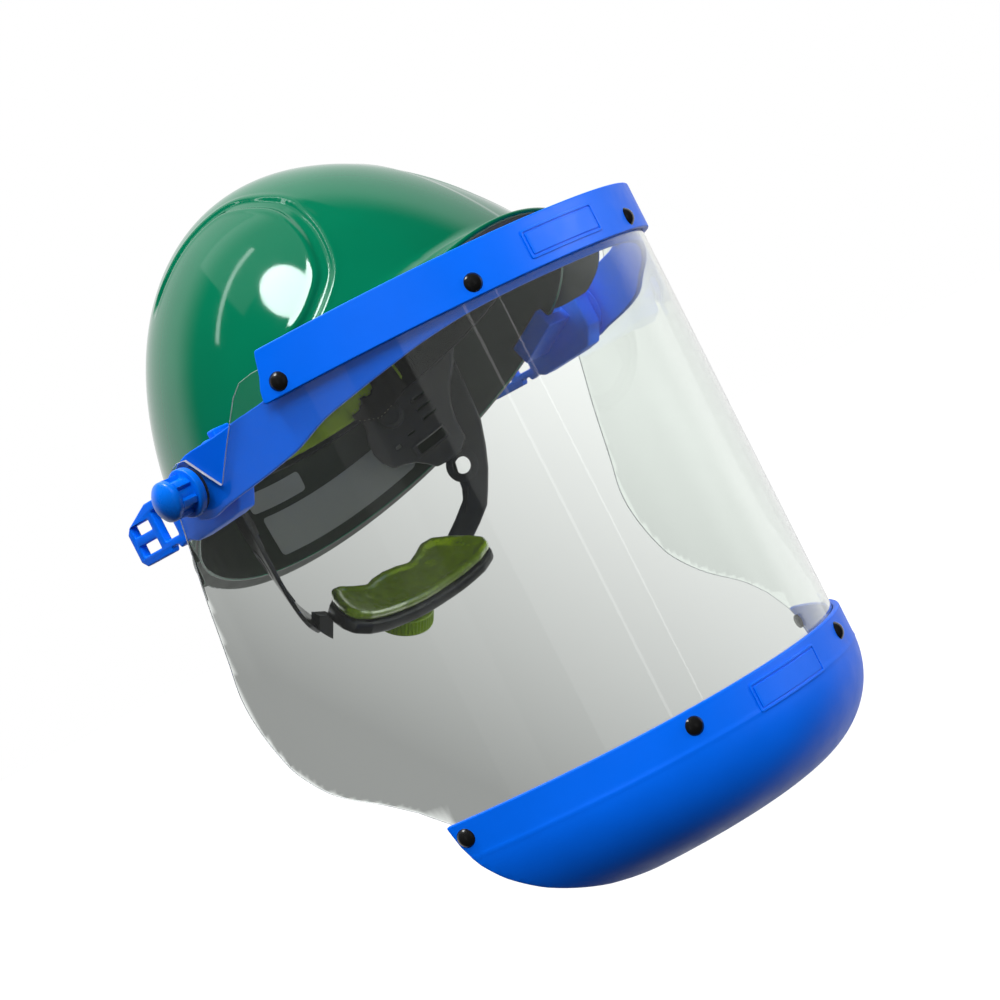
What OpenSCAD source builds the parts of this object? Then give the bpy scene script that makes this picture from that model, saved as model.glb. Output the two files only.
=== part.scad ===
// Face shield on a safety helmet.
// Frame: origin halfway between the two visor pivots, +Z up along the visor, -Y to the front,
// +X to the wearer's left. Millimetres.

/* [Visor] */
// Half of the visor's width between its straight sides
visor_half_width = 125; // [120:1:128]
// Distance from the straight sides' start to the front of the visor
visor_front_reach = 140; // [134:1:144]
// Height of the visor's upper edge above the pivot
visor_top = 29; // [26:1:30]
// Depth of the chin guard's crease below the pivot
visor_bottom = 182; // [176:1:186]
// Thickness of the clear sheet
visor_t = 1.5; // [1.2:0.1:1.6]

/* [Blue mouldings] */
// Lower edge of the browguard above the pivot
brow_low = 15.4; // [14:0.2:17]
// Upper edge of the browguard above the pivot
brow_high = 35.8; // [34:0.2:38]
// Wall of the browguard and the chin guard
guard_t = 2.8; // [2.4:0.1:3]
// Wall of the inner carrier frame
carrier_t = 2.8; // [2.4:0.1:3]
// Height of the chin guard's upright band
chin_band_h = 19.2; // [17:0.2:21]
// Radius of the chin guard's scoop below the band
chin_scoop_r = 40; // [34:1:44]

/* [Helmet] */
// Half width of the shell's ellipsoid
shell_a = 108; // [107:0.5:108.5]
// Half length of the shell's ellipsoid
shell_b = 115.6; // [113:0.2:118]
// Half height of the shell's ellipsoid
shell_c = 178.2; // [170:0.2:180]
// Height of the shell's rim above the ellipsoid's centre
rim_rise = 57.2; // [54:0.2:60]
// Wall of the shell
shell_t = 3; // [2.4:0.1:3.2]
// How far the peak reaches out in front of the rim
peak_reach = 18; // [10:1:19]
// Backward tilt of the helmet against the lowered shield
helmet_tilt = 22.2; // [20:0.1:24]

/* [Headband] */
// Half width of the headband
band_a = 76; // [72:1:77]
// Half length of the headband
band_b = 87; // [84:1:88]
// Forward slope of the headband inside the shell
band_tilt = 9; // [6:1:10]
// Radius of the chin strap holes
strap_hole_r = 4.6; // [4:0.1:5]

/* [Pivots] */
// Radius of the threaded stud that each knob screws on
stud_r = 3.5; // [3:0.1:3.8]
// Radius of the knob's flange
knob_flange_r = 10.25; // [9.5:0.25:11]

/* [Hidden] */
$fn = 96;

blue = [0, 0.32, 0.95];
green = [0, 0.52, 0.33];
lime = [0.62, 0.76, 0.1];
dark = [0.17, 0.17, 0.17];

// Plan curve of the visor: one front arc and two side arcs that meet it smoothly,
// then straight sides from side_y backwards.
side_y = 17;
side_r = 150;
side_cx = side_r - visor_half_width;
front_d = visor_front_reach - side_y;
front_cy = ((side_r - front_d) * (side_r - front_d) - side_cx * side_cx - side_y * side_y)
    / (2 * (side_r - front_d - side_y));
front_r = front_cy + front_d;
// Far point on the line through both arcs' centres, which is where they join
join = [side_cx * 12, front_cy - (side_y - front_cy) * 12];
back_y = 90;
far = 400;

// Offsets from the visor's outer face, outwards positive
gap = 0.2;
guard_in = gap;
guard_out = gap + guard_t;
carrier_out = -visor_t - gap;
carrier_in = carrier_out - carrier_t;

// Height of the visor's lower edge, tucked in above the chin guard's bend
visor_low = 2.5 - visor_bottom;

// Places on the plan curve of the rivets, as angles about the arc that carries them
top_front_a = 24.1;
top_side_a = 60.7;
top_rivet_z = 21;
bottom_front_a = 24.6;
bottom_side_a = 67;
bottom_rivet_z = -169.4;
rivet_shaft_r = 1.6;
rivet_head_r = 3.9;
rivet_head_h = 2.2;
rivet_dome_r = (rivet_head_r * rivet_head_r + rivet_head_h * rivet_head_h) / (2 * rivet_head_h);

// Helmet frame: rim plane at z = 0, crown up, front towards -Y
helmet_y = 20.7;
helmet_z = -3.8;
pivot_y = -20.6;
pivot_z = -4.3;
rim_sides = 72;
dome_rows = 14;

// Nape frame: +Y out of the back of the head and down, +Z up along the nape pad
nape_y = 70;
nape_z = -79;
nape_tilt = 50.2;
dial_z = -4;
pinion_r = 7;
ratchet_r = 13.2;

// Stack on each pivot, as distances from the middle plane
slab_in = 105;
slab_out = 114;
hub_face = 117;
carrier_boss = 3;
washer_in = visor_half_width + 0.15;
washer_t = 1.5;
flange_in = washer_in + washer_t + 0.3;
flange_t = 3.4;
ribs_len = 7.5;
cap_t = 2.4;

module in_helmet()
    translate([0, helmet_y, helmet_z]) rotate([-helmet_tilt, 0, 0]) children();

module in_nape()
    translate([0, nape_y, nape_z]) rotate([-nape_tilt, 0, 0]) children();

// The headband's own frame: its ellipse lies in the XY plane
module in_band()
    in_helmet() rotate([band_tilt, 0, 0]) children();

module both_sides() {
    children();
    mirror([1, 0, 0]) children();
}

// ---- Plan curve of the shield -------------------------------------------------------------

// The part of the plan that belongs to the front arc, and to the wearer's left side arc
module front_region()
    polygon([[0, front_cy], join, [0, -2 * far], [-join[0], join[1]]]);

module side_region()
    polygon([[0, front_cy], join, [2 * far, join[1]], [2 * far, side_y], [0, side_y]]);

module ring_2d(r0, r1)
    difference() {
        circle(r = r1);
        circle(r = r0);
    }

// A wall that follows the plan curve, from offset o0 to offset o1 and from height z0 to z1
module curved_wall(o0, o1, z0, z1) {
    translate([0, 0, z0]) linear_extrude(z1 - z0) intersection() {
        translate([0, front_cy]) ring_2d(front_r + o0, front_r + o1);
        front_region();
    }
    both_sides() {
        translate([0, 0, z0]) linear_extrude(z1 - z0) intersection() {
            translate([-side_cx, side_y]) ring_2d(side_r + o0, side_r + o1);
            side_region();
        }
        translate([visor_half_width + o0, side_y, z0])
            cube([o1 - o0, back_y - side_y, z1 - z0]);
    }
}

// Children along the front arc, on its outer face, with their +Z pointing outwards
module on_front(a, z)
    translate([0, front_cy, z]) rotate([0, 0, a]) translate([0, -front_r, 0])
        rotate([90, 0, 0]) children();

// The same along the wearer's left side arc
module on_side(a, z)
    translate([-side_cx, side_y, z]) rotate([0, 0, a]) translate([0, -side_r, 0])
        rotate([90, 0, 0]) children();

module at_top_rivets()
    both_sides() {
        on_front(top_front_a, top_rivet_z) children();
        on_side(top_side_a, top_rivet_z) children();
    }

module at_bottom_rivets()
    both_sides() {
        on_front(bottom_front_a, bottom_rivet_z) children();
        on_side(bottom_side_a, bottom_rivet_z) children();
    }

// A side outline, drawn as [y, z] points, pushed right through the object along X
module side_outline(points)
    rotate([90, 0, 90]) linear_extrude(2 * far, center = true) polygon(points);

module rivet_hole()
    cylinder(h = 40, r = rivet_shaft_r + 0.1, center = true, $fn = 32);

// A shallow raised plate with no marking, on the front arc
module blank_plate(z0, z1, half_w)
    intersection() {
        curved_wall(guard_out, guard_out + 0.5, z0, z1);
        translate([-half_w, -far, z0]) cube([2 * half_w, far, z1 - z0]);
    }

// ---- Shield -------------------------------------------------------------------------------

module browguard()
    color(blue) {
        difference() {
            intersection() {
                curved_wall(guard_in, guard_out, brow_low, brow_high);
                side_outline([[-160, 10], [-47.5, 10], [-49.4, 21], [-51.5, 26], [-53.2, 33],
                              [-55.5, 40], [-160, 40]]);
            }
            at_top_rivets() rivet_hole();
        }
        blank_plate(19.2, 31.4, 21);
    }

module carrier_frame()
    color(blue) difference() {
        union() {
            both_sides() translate([hub_face + 0.3, 0, 0]) rotate([0, 90, 0])
                cylinder(h = carrier_boss, r = 12);
            intersection() {
                curved_wall(carrier_in, carrier_out, -20, 34);
                side_outline([[-160, 12.4], [-117, 12.4], [-108, 11.6], [-96, 9.1],
                              [-88, 6.9], [-74, 3.3], [-61.5, 0], [-50, -5], [-40.6, -7.4],
                              [-27.6, -9.6], [-9, -12], [0, -13.6], [8, -12], [12.5, -5],
                              [12.5, 5], [9, 10], [0, 13.8], [-18, 14.6], [-35, 16.4],
                              [-43, 17.2], [-50, 19], [-55, 24], [-59, 34], [-160, 34]]);
            }
        }
        both_sides() translate([visor_half_width - 20, 0, 0]) rotate([0, 90, 0])
            cylinder(h = 40, r = stud_r + 0.08);
        at_top_rivets() rivet_hole();
    }

// The sheet's free edge: up behind the browguard, a V notch in front of each pivot,
// an ear above it, and a long curve down to the chin guard.
module visor()
    color([0.8, 0.84, 0.82, 0.4]) difference() {
        intersection() {
            curved_wall(-visor_t, 0, visor_low, visor_top);
            side_outline([[-160, visor_top], [-47, visor_top], [-41, 28], [-36, 24], [-13, -4],
                          [-1, 12], [4, 12.6], [10, 10], [15, 1], [18, -7], [22, -22],
                          [27.5, -42], [33, -67], [36.4, -80], [37, -90], [35, -101],
                          [31, -112], [25, -122], [10, -134.5], [-12, -145], [-26, -153.5],
                          [-37, -163], [-42, -171], [-45.2, visor_low],
                          [-160, visor_low]]);
        }
        both_sides() translate([visor_half_width - 20, 0, 0]) rotate([0, 90, 0])
            cylinder(h = 40, r = stud_r + 0.4);
        at_top_rivets() rivet_hole();
        at_bottom_rivets() rivet_hole();
    }

// Cross-section of the chin guard for an arc of radius r: upright band, then quarter round
module chin_section(r) {
    top = -visor_bottom + chin_band_h;
    bend = -visor_bottom + 5;
    centre = r + guard_out - chin_scoop_r;
    translate([r + guard_in, bend]) square([guard_t, top - bend]);
    intersection() {
        translate([centre, bend]) ring_2d(chin_scoop_r - guard_t, chin_scoop_r);
        translate([centre, bend - chin_scoop_r - 1])
            square([chin_scoop_r + 1, chin_scoop_r + 1]);
    }
}

module chin_sweep(cx, cy, r)
    intersection() {
        translate([cx, cy, 0]) rotate_extrude($fn = 144) chin_section(r);
        translate([0, 0, -far]) linear_extrude(far) children();
    }

module chin_guard()
    color(blue) {
        difference() {
            intersection() {
                union() {
                    chin_sweep(0, front_cy, front_r) front_region();
                    both_sides() chin_sweep(-side_cx, side_y, side_r) side_region();
                }
                side_outline([[-160, -160], [-36, -160], [-38.5, -172], [-42, -181],
                              [-47, -190], [-54, -200], [-64, -211], [-76, -219],
                              [-90, -224], [-160, -224]]);
            }
            at_bottom_rivets() rivet_hole();
        }
        blank_plate(-visor_bottom + 3.6, -visor_bottom + 15.8, 21);
    }

// A rivet with its domed head on the outer moulding and a flat washer head inside
module rivet(inner)
    color("black") {
        translate([0, 0, guard_out + 0.02]) intersection() {
            translate([0, 0, rivet_head_h - rivet_dome_r]) sphere(r = rivet_dome_r);
            cylinder(h = rivet_head_h + 1, r = 5);
        }
        translate([0, 0, inner - 1.2]) cylinder(h = guard_out - inner + 1.4, r = rivet_shaft_r);
        translate([0, 0, inner - 1.22]) cylinder(h = 1.2, r = 3.2);
    }

module top_rivets() at_top_rivets() rivet(carrier_in);
module bottom_rivets() at_bottom_rivets() rivet(-visor_t);

module friction_washer()
    color(dark) translate([washer_in, 0, 0]) rotate([0, 90, 0]) difference() {
        cylinder(h = washer_t, r = 9.2);
        translate([0, 0, -1]) cylinder(h = washer_t + 2, r = stud_r + 0.4);
    }

module friction_washer_left() friction_washer();
module friction_washer_right() mirror([1, 0, 0]) friction_washer();

// ---- Knobs --------------------------------------------------------------------------------

insert_r = 5.2;
insert_len = 10;

module knob_body()
    translate([flange_in, 0, 0]) rotate([0, 90, 0]) difference() {
        union() {
            cylinder(h = flange_t, r = knob_flange_r);
            cylinder(h = flange_t + ribs_len, r = 6.6);
            for (a = [0 : 60 : 300]) rotate([0, 0, a])
                translate([3, -1.6, 0]) cube([5.2, 3.2, flange_t + ribs_len]);
            translate([0, 0, flange_t + ribs_len]) cylinder(h = cap_t, r = 8.4);
            // Shallow dome on the cap
            translate([0, 0, flange_t + ribs_len + cap_t]) intersection() {
                translate([0, 0, -8.6]) sphere(r = 12);
                cylinder(h = 4, r = 8.3);
            }
        }
        translate([0, 0, -1]) cylinder(h = insert_len + 1.1, r = insert_r + 0.02);
    }

module knob_left() color(blue) knob_body();
module knob_right() color(blue) mirror([1, 0, 0]) knob_body();

module knob_insert()
    translate([flange_in + 0.1, 0, 0]) rotate([0, 90, 0]) difference() {
        cylinder(h = insert_len - 0.2, r = insert_r);
        translate([0, 0, -1]) cylinder(h = insert_len + 2, r = stud_r + 0.05);
    }

module knob_insert_left() color("goldenrod") knob_insert();
module knob_insert_right() color("goldenrod") mirror([1, 0, 0]) knob_insert();

// A hexagon head sunk in the adapter, and the shaft that the shield turns on
stud_head_x = 107.5;
stud_head_t = 4;

module pivot_stud()
    rotate([0, 90, 0]) {
        translate([0, 0, stud_head_x]) cylinder(h = stud_head_t, r = 6.4, $fn = 6);
        translate([0, 0, stud_head_x + stud_head_t])
            cylinder(h = flange_in + insert_len - 0.6 - stud_head_x - stud_head_t, r = stud_r);
    }

module pivot_stud_left() color("silver") pivot_stud();
module pivot_stud_right() color("silver") mirror([1, 0, 0]) pivot_stud();

// ---- Adapter that clips over the helmet's rim ------------------------------------------------

module adapter_body()
    difference() {
        union() {
            translate([slab_in, 0, 0]) side_slab(slab_out - slab_in, [[-6, -16], [1, -17],
                [28, -18.4], [34, -16], [34, -3], [25, 4], [12, 11], [-2, 12], [-12, 8],
                [-12, -8]]);
            // Two lugs above the hub, one higher than the other
            translate([slab_in, -14, 7]) cube([slab_out - slab_in, 5, 11]);
            translate([slab_in, -7, 9]) cube([slab_out - slab_in, 4.5, 6.5]);
            translate([slab_out - 1, 0, 0]) rotate([0, 90, 0])
                cylinder(h = hub_face - slab_out + 1, r = 9);
            rim_clip();
        }
        translate([stud_head_x - 0.1, 0, 0]) rotate([0, 90, 0])
            cylinder(h = stud_head_t + 0.2, r = 6.5, $fn = 6);
        translate([stud_head_x, 0, 0]) rotate([0, 90, 0]) cylinder(h = 20, r = stud_r + 0.02);
    }

// Clip: an outer leg, a bridge under the rim and an inner leg
module rim_clip()
    in_helmet() difference() {
        translate([90.5, pivot_y - 4, -6]) cube([18.8, 27, 13]);
        translate([94.2, pivot_y - 10, -0.6]) cube([10.3, 60, 30]);
        translate([80, pivot_y - 10, 4]) cube([14.3, 60, 30]);
    }

// A slab of thickness t along +X from an outline of [y, z] points
module side_slab(t, points)
    rotate([90, 0, 90]) linear_extrude(t) polygon(points);

module adapter_left() color(blue) adapter_body();
module adapter_right() color(blue) mirror([1, 0, 0]) adapter_body();

// Three-bar buckle behind the adapter, for a retaining strap
module strap_buckle()
    translate([slab_out - 4.5, 0, 0]) difference() {
        side_slab(4, [[34.2, -16], [42, -17.4], [43, -15.4], [48, -15.4], [49, -17.6],
                      [70, -17.6], [73, -15], [73, -2], [70, 0.5], [53, 6.2], [40, 6.2],
                      [34.2, 0]]);
        // Slot nearest the adapter, then the two strap slots between the bars
        translate([-5, 39.5, -12]) cube([20, 11, 14]);
        translate([-5, 55, -4.6]) cube([20, 14, 4.4]);
        translate([-5, 55, -13.4]) cube([20, 14, 4.6]);
    }

module strap_buckle_left() color(blue) strap_buckle();
module strap_buckle_right() color(blue) mirror([1, 0, 0]) strap_buckle();

// ---- Helmet shell ---------------------------------------------------------------------------

// Solid of the shell's ellipsoid, grown by g, from height z0 to the crown
module dome(g, z0) {
    a = shell_a + g;
    b = shell_b + g;
    c = shell_c + g;
    low = asin((z0 + rim_rise) / c);
    rows = [for (j = [0 : dome_rows - 1]) low + (90 - low) * j / dome_rows];
    points = concat(
        [for (v = rows) for (i = [0 : rim_sides - 1])
            [a * cos(v) * cos(360 * i / rim_sides), b * cos(v) * sin(360 * i / rim_sides),
             c * sin(v) - rim_rise]],
        [[0, 0, c - rim_rise]]);
    apex = len(points) - 1;
    faces = concat(
        [[for (i = [0 : rim_sides - 1]) i]],
        [for (j = [0 : dome_rows - 2]) for (i = [0 : rim_sides - 1])
            [j * rim_sides + i, (j + 1) * rim_sides + i,
             (j + 1) * rim_sides + (i + 1) % rim_sides, j * rim_sides + (i + 1) % rim_sides]],
        [for (i = [0 : rim_sides - 1])
            [(dome_rows - 1) * rim_sides + i, apex,
             (dome_rows - 1) * rim_sides + (i + 1) % rim_sides]]);
    polyhedron(points, faces, convexity = 4);
}

function ellipse(a, b, n) = [for (i = [0 : n - 1]) [a * cos(360 * i / n), b * sin(360 * i / n)]];

// The lip round the rim: close to the shell at the sides, flared at the back
module rim_lip()
    linear_extrude(5) union() {
        polygon(ellipse(103.2, 110.6, rim_sides));
        intersection() {
            polygon(ellipse(103.2, shell_b, rim_sides));
            translate([-far / 2, 0]) square(far);
        }
    }

// Arched peak: widest in front, drooping at the sides, running out at the temples
peak_half_angle = 76;
peak_steps = 32;
peak_t = 2.6;

function peak_angle(i) = -peak_half_angle + 2 * peak_half_angle * i / peak_steps;
function peak_out(f) = peak_reach * pow(max(cos(f * 90 / peak_half_angle), 0), 0.55);
function peak_droop(f) = 4 + 12 * pow(sin(min(abs(f) * 1.6, 180 - abs(f) * 1.6)), 2)
    * pow(max(cos(f * 90 / peak_half_angle), 0), 0.4);

module peak() {
    points = [for (i = [0 : peak_steps]) let (
            f = peak_angle(i),
            out = peak_out(f) + 0.5,
            inner = [100.5 * sin(f), -107.5 * cos(f)],
            outer = [(102.8 + out * 0.55) * sin(f), -(110 + out) * cos(f)],
            drop = peak_droop(f) * min(1, out / 8))
        for (p = [[inner[0], inner[1], 0.02], [outer[0], outer[1], -drop],
                  [outer[0], outer[1], peak_t - drop], [inner[0], inner[1], peak_t + 0.6]]) p];
    n = 4;
    faces = concat(
        [[3, 2, 1, 0]],
        [for (i = [0 : peak_steps - 1]) for (k = [0 : n - 1])
            [i * n + k, i * n + (k + 1) % n, (i + 1) * n + (k + 1) % n, (i + 1) * n + k]],
        [[for (k = [0 : n - 1]) peak_steps * n + k]]);
    polyhedron(points, faces, convexity = 6);
}

// Three vent slots beside the crown
vents = [[-35.4, -38.2], [-44.7, -23], [-54, -8]];

module helmet_shell()
    color(green) in_helmet() difference() {
        union() {
            dome(0, 0);
            rim_lip();
            peak();
        }
        dome(-shell_t, -8);
        both_sides() for (v = vents)
            translate([v[0], v[1], 60]) rotate([0, 0, 29.5])
                cube([3.4, 13, 160], center = true);
    }

// Plain stickers inside the back of the shell
module label(y0, z0, z1, x0, x1)
    in_helmet() intersection() {
        difference() {
            dome(-shell_t - 0.45, -1);
            dome(-shell_t - 0.85, -6);
        }
        translate([x0, y0, z0]) cube([x1 - x0, 200, z1 - z0]);
    }

module label_large() color("gainsboro") label(40, 5, 24, -10, 66);
module label_small() color("gainsboro") label(40, 27, 36, -14, 20);

// ---- Suspension -----------------------------------------------------------------------------

clip_azimuth = 45;
front_clip_z = 3;
rear_clip_z = 26;
strap_r = 97;
strap_t = 1.2;

// One webbing strap over the head, from clip to clip, on an arc of radius r
module crown_strap(turn, r)
    in_helmet() rotate([0, 0, turn]) intersection() {
        translate([0, 0, -2]) rotate([0, 90, 0]) difference() {
            cylinder(h = 20, r = r, center = true);
            cylinder(h = 30, r = r - strap_t, center = true);
        }
        union() {
            translate([-50, -100, front_clip_z + 6]) cube([100, 100, 100]);
            translate([-50, -1, rear_clip_z + 6]) cube([100, 101, 100]);
        }
    }

module crown_strap_left() color(dark) crown_strap(clip_azimuth, strap_r);
module crown_strap_right() color(dark) crown_strap(-clip_azimuth, strap_r - strap_t - 0.8);

// A plug against the shell, from radius r0 outwards, with a pocket for the strap's end
module strap_plug(r0, z0)
    difference() {
        translate([-12, -108, z0]) cube([24, 108 - r0, 16]);
        translate([-10.3, -97.3, z0 + 5.6]) cube([20.6, 30, 30]);
    }

// Plugs that hold the strap ends, higher up behind the rear of the headband
module suspension_clips()
    color("gray") in_helmet() intersection() {
        for (a = [clip_azimuth, -clip_azimuth]) rotate([0, 0, a]) {
            strap_plug(92, front_clip_z);
            rotate([0, 0, 180]) strap_plug(84, rear_clip_z);
        }
        dome(-shell_t - 0.45, 0);
    }

band_cy = -6;

// A strip that follows the headband's plan ellipse, from offset o0 to o1
module band_strip(o0, o1, z0, z1)
    translate([0, band_cy, z0]) linear_extrude(z1 - z0) difference() {
        polygon(ellipse(band_a + o1, band_b + o1, rim_sides));
        polygon(ellipse(band_a + o0, band_b + o0, rim_sides));
    }

band_low = 20;
band_high = 40;

module headband()
    color(dark) in_band() band_strip(-1.8, 0, band_low, band_high);

// Textile pad wrapped on the inside of the forehead
module brow_pad()
    color([0.12, 0.11, 0.1]) in_band() intersection() {
        band_strip(-7, -2.1, band_low - 3, band_high + 2);
        translate([-70, -120, 0]) cube([140, 75, 100]);
    }

// Lime pad on the inside of the back of the headband
module rear_pad()
    color(lime) in_band() intersection() {
        band_strip(-6, -2.1, band_low - 1, band_high + 2);
        translate([-58, 38, 0]) cube([116, 60, 100]);
    }

// Slotted plate hanging from the headband behind each ear
plate_outline = [[16, 22], [20, 38], [66, 38], [66.6, 16], [68.4, 10.4], [69, 4.3], [68.4, -1.5],
    [66.6, -6.5], [62.8, -8.2], [59.6, -10.5], [57, -14], [54.6, -18], [50, -19], [43, -19],
    [38.5, -15], [37.6, -6], [35, 2], [31, 8], [24, 14]];

module side_plate()
    in_band() difference() {
        intersection() {
            band_strip(0.3, 2.3, -22, 38);
            translate([20, 0, 0]) side_slab(70, plate_outline);
        }
        for (k = [0 : 2]) translate([20, 41.5, 3.5 + 5 * k]) cube([70, 8, 2]);
        translate([20, 43, -9]) cube([70, 13.5, 5]);
    }

module side_plate_left() color(dark) side_plate();
module side_plate_right() color(dark) mirror([1, 0, 0]) side_plate();

// ---- Nape adjuster --------------------------------------------------------------------------

// Offset of the arm's middle from the headband's ellipse, and its chin strap ring
arm_in = 2.7;
arm_t = 2;
ring_y = 48.1;
ring_z = -24.3;
arm_a = band_a + arm_in + arm_t / 2;
arm_b = band_b + arm_in + arm_t / 2;
ring_u = asin((ring_y - band_cy) / arm_b);

// Children on the chin strap ring's axis, with +Z along it, away from the head
module at_chin_ring()
    translate([arm_a * cos(ring_u), ring_y, ring_z])
        rotate([0, 0, atan2(arm_a * sin(ring_u), arm_b * cos(ring_u))])
            rotate([0, 90, 0]) children();

// Arm from beside the plate, through the chin strap ring, down to the end of the nape housing
arm_outline = [[21, 27], [23, 18], [26.5, 3], [30, -13], [35, -23.5], [40, -32.5], [45.8, -40.9],
    [49.6, -46.2], [55.8, -50.9], [62.2, -55.5], [69, -58.5], [73, -52], [67.4, -47.1],
    [62.2, -42.8], [55.9, -37.4],
    [53.8, -33], [49, -14], [47.4, -10.3], [39.9, 6.6], [34, 18], [30, 27]];

module nape_arm()
    in_band() difference() {
        union() {
            intersection() {
                band_strip(arm_in, arm_in + arm_t, -62, 30);
                translate([20, 0, 0]) side_slab(70, arm_outline);
            }
            at_chin_ring() cylinder(h = 2.4, r = 8.2, center = true);
        }
        at_chin_ring() cylinder(h = 20, r = strap_hole_r, center = true);
    }

module nape_arm_left() color(dark) nape_arm();
module nape_arm_right() color(dark) mirror([1, 0, 0]) nape_arm();

// A plate curved round the nape, between two radii about a vertical line in front of it
nape_bend_r = 115;

module nape_plate(o0, o1, outline)
    intersection() {
        translate([0, -nape_bend_r, -60]) linear_extrude(120)
            ring_2d(nape_bend_r + o0, nape_bend_r + o1);
        rotate([90, 0, 0]) linear_extrude(2 * far, center = true) polygon(outline);
        translate([-100, -50, -60]) cube([200, 100, 120]);
    }

// Right half of each outline, from the middle of its top edge to the middle of its bottom
housing_half = [[0, 8], [8, 6.8], [14, 4.4], [21, 6.6], [27, 9.6], [34, 9.4], [40, 5], [44.5, -3],
    [47, -11], [45.5, -17], [37, -19], [25, -18.8], [13, -18.2], [0, -18.2]];
pad_half = [[0, 11], [8, 9.8], [14, 7.2], [21, 9.5], [27, 12], [33, 10.5], [38, 4], [42.5, -4],
    [45, -11], [43.5, -16], [36, -17.5], [25, -17.2], [13, -16.6], [0, -16.8]];

function both_halves(half) =
    concat(half, [for (i = [len(half) - 2 : -1 : 1]) [-half[i][0], half[i][1]]]);

// Lug on the back of each end of the housing that fills the space up to the arm
module housing_lug()
    intersection() {
        in_nape() nape_plate(0.5, 20, [[38, 3], [37, 7.5], [39, 9], [47, 9], [48, 3]]);
        in_band() band_strip(-20, arm_in, -70, -20);
    }

module nape_housing()
    color(dark) difference() {
        union() {
            in_nape() nape_plate(-5, 1, both_halves(housing_half));
            in_nape() translate([0, -4, dial_z]) rotate([-90, 0, 0]) cylinder(h = 7.1, r = 11);
            both_sides() housing_lug();
        }
        // Chamber for the pinion, and the hole for its shaft
        in_nape() translate([0, -3.2, dial_z]) rotate([-90, 0, 0]) cylinder(h = 4.9, r = 8.2);
        in_nape() translate([0, 0, dial_z]) rotate([-90, 0, 0]) cylinder(h = 20, r = 3.1);
    }

module nape_pad()
    color(lime) in_nape() nape_plate(-9.5, -5.3, both_halves(pad_half));

// The dial, with finger ribs round its rim
module ratchet_knob()
    color(lime) in_nape() translate([0, 3.4, dial_z]) rotate([-90, 0, 0]) difference() {
        union() {
            cylinder(h = 7.8, r = ratchet_r - 0.7);
            for (a = [0 : 15 : 345]) rotate([0, 0, a])
                translate([ratchet_r - 1.6, -0.8, 0]) cube([1.6, 1.6, 7.8]);
        }
        translate([0, 0, -1]) cylinder(h = 7.4, r = 3.02);
    }

// Toothed pinion on the dial's shaft, inside the housing
module ratchet_pinion()
    color("gray") in_nape() translate([0, -2.7, dial_z]) rotate([-90, 0, 0]) {
        cylinder(h = 4, r = pinion_r - 1);
        for (a = [0 : 36 : 324]) rotate([0, 0, a])
            translate([pinion_r - 1.6, -0.9, 0]) cube([2.2, 1.8, 4]);
        cylinder(h = 12.1, r = 3);
    }

helmet_shell();
crown_strap_left();
crown_strap_right();
suspension_clips();
headband();
brow_pad();
rear_pad();
side_plate_left();
side_plate_right();
label_large();
label_small();
nape_arm_left();
nape_arm_right();
nape_housing();
nape_pad();
ratchet_knob();
ratchet_pinion();
adapter_left();
adapter_right();
strap_buckle_left();
strap_buckle_right();
pivot_stud_left();
pivot_stud_right();
browguard();
carrier_frame();
visor();
chin_guard();
top_rivets();
bottom_rivets();
friction_washer_left();
friction_washer_right();
knob_left();
knob_right();
knob_insert_left();
knob_insert_right();
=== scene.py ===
import math

import bmesh
import bpy
import numpy as np
from mathutils import Matrix, Vector


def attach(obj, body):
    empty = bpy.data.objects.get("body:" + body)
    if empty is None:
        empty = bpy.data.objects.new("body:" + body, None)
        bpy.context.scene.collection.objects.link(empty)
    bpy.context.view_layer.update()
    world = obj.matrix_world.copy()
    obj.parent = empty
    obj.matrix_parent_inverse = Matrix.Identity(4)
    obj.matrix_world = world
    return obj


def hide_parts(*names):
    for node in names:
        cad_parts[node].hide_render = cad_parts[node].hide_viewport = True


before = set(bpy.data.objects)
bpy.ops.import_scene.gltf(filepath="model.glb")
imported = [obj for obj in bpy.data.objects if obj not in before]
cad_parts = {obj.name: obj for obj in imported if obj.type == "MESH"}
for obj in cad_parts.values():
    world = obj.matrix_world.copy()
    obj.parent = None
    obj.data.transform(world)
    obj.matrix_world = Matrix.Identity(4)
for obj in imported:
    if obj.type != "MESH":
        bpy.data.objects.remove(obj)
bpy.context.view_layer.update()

# Shapes are drawn in millimetres, as in the CAD source; build() turns them into metres.
rad = math.radians
HELMET = Matrix.Translation((0, 20.7, -3.8)) @ Matrix.Rotation(rad(-22.2), 4, "X")
BAND = HELMET @ Matrix.Rotation(rad(9), 4, "X")
NAPE = Matrix.Translation((0, 70, -79)) @ Matrix.Rotation(rad(-50.2), 4, "X")
SIDEWAYS = Matrix.Rotation(rad(90), 4, "Y")
MIRROR = Matrix.Diagonal((-1, 1, 1, 1))

# ---- Plan curve of the shield ------------------------------------------------------------------

FRONT_CY, FRONT_R = -9.25, 113.75
SIDE_CX, SIDE_Y, SIDE_R = 25.0, 17.0, 150.0
HALF_WIDTH = 125.0
JOIN_A = math.atan2(SIDE_CX, SIDE_Y - FRONT_CY)
S_JOIN = FRONT_R * JOIN_A
S_STRAIGHT = S_JOIN + SIDE_R * (math.pi / 2 - JOIN_A)


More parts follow.
